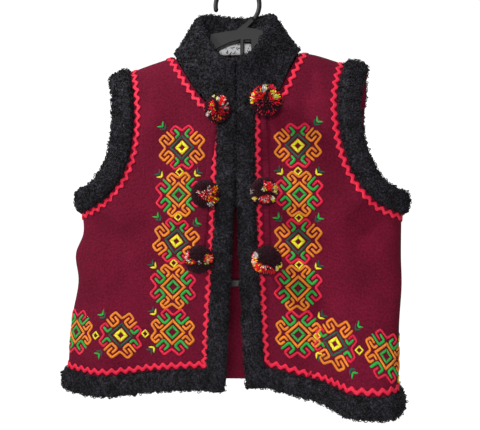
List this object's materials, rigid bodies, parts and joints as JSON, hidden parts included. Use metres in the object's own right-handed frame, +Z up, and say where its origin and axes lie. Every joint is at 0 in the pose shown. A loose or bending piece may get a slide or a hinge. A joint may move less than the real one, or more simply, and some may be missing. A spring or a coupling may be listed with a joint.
{
  "type": "embroidered folk vest with pompoms on a two-tier hanger",
  "caption": "Sleeveless open-fronted child's folk vest in dark red wool with looped black pile edging, zigzag braid, pompoms and stitched diamonds, hanging on a plastic hanger",
  "frame": {"origin": "the inside top of the hanger's hook, where it rests on a rail", "axes": "+Z up, the front of the vest faces -Y, +X to the right as seen from the front"},
  "size_m": [0.4126, 0.1453, 0.4871],
  "materials": {
    "wool_red": "matt napped wool",
    "pile_black": "looped black pile",
    "braid_red": "satin zigzag braid",
    "yarn_mix": "cut yarn, dark red with red, yellow and white",
    "hanger_plastic": "moulded, satin",
    "label_white": "bare woven label"
  },
  "bodies": {
    "root": {"back": "wool_red", "front_left": "wool_red", "front_right": "wool_red", "collar": "pile_black", "front_band_left": "pile_black", "front_band_right": "pile_black", "hem_band_left": "pile_black", "hem_band_right": "pile_black", "hem_band_back": "pile_black", "armhole_band_left": "pile_black", "armhole_band_right": "pile_black", "braid_front_left": "braid_red", "braid_front_right": "braid_red", "braid_hem_left": "braid_red", "braid_hem_right": "braid_red", "braid_hem_back": "braid_red", "braid_neck": "braid_red", "braid_armhole_left": "braid_red", "braid_armhole_right": "braid_red", "pompom_top_left": "yarn_mix", "pompom_top_right": "yarn_mix", "pompom_middle_left": "yarn_mix", "pompom_middle_right": "yarn_mix", "pompom_bottom_left": "yarn_mix", "pompom_bottom_right": "yarn_mix", "hanger_arms": "hanger_plastic", "hanger_hook": "hanger_plastic", "hanger_lower_frame": "hanger_plastic", "neck_label": "label_white"}
  },
  "joints": []
}
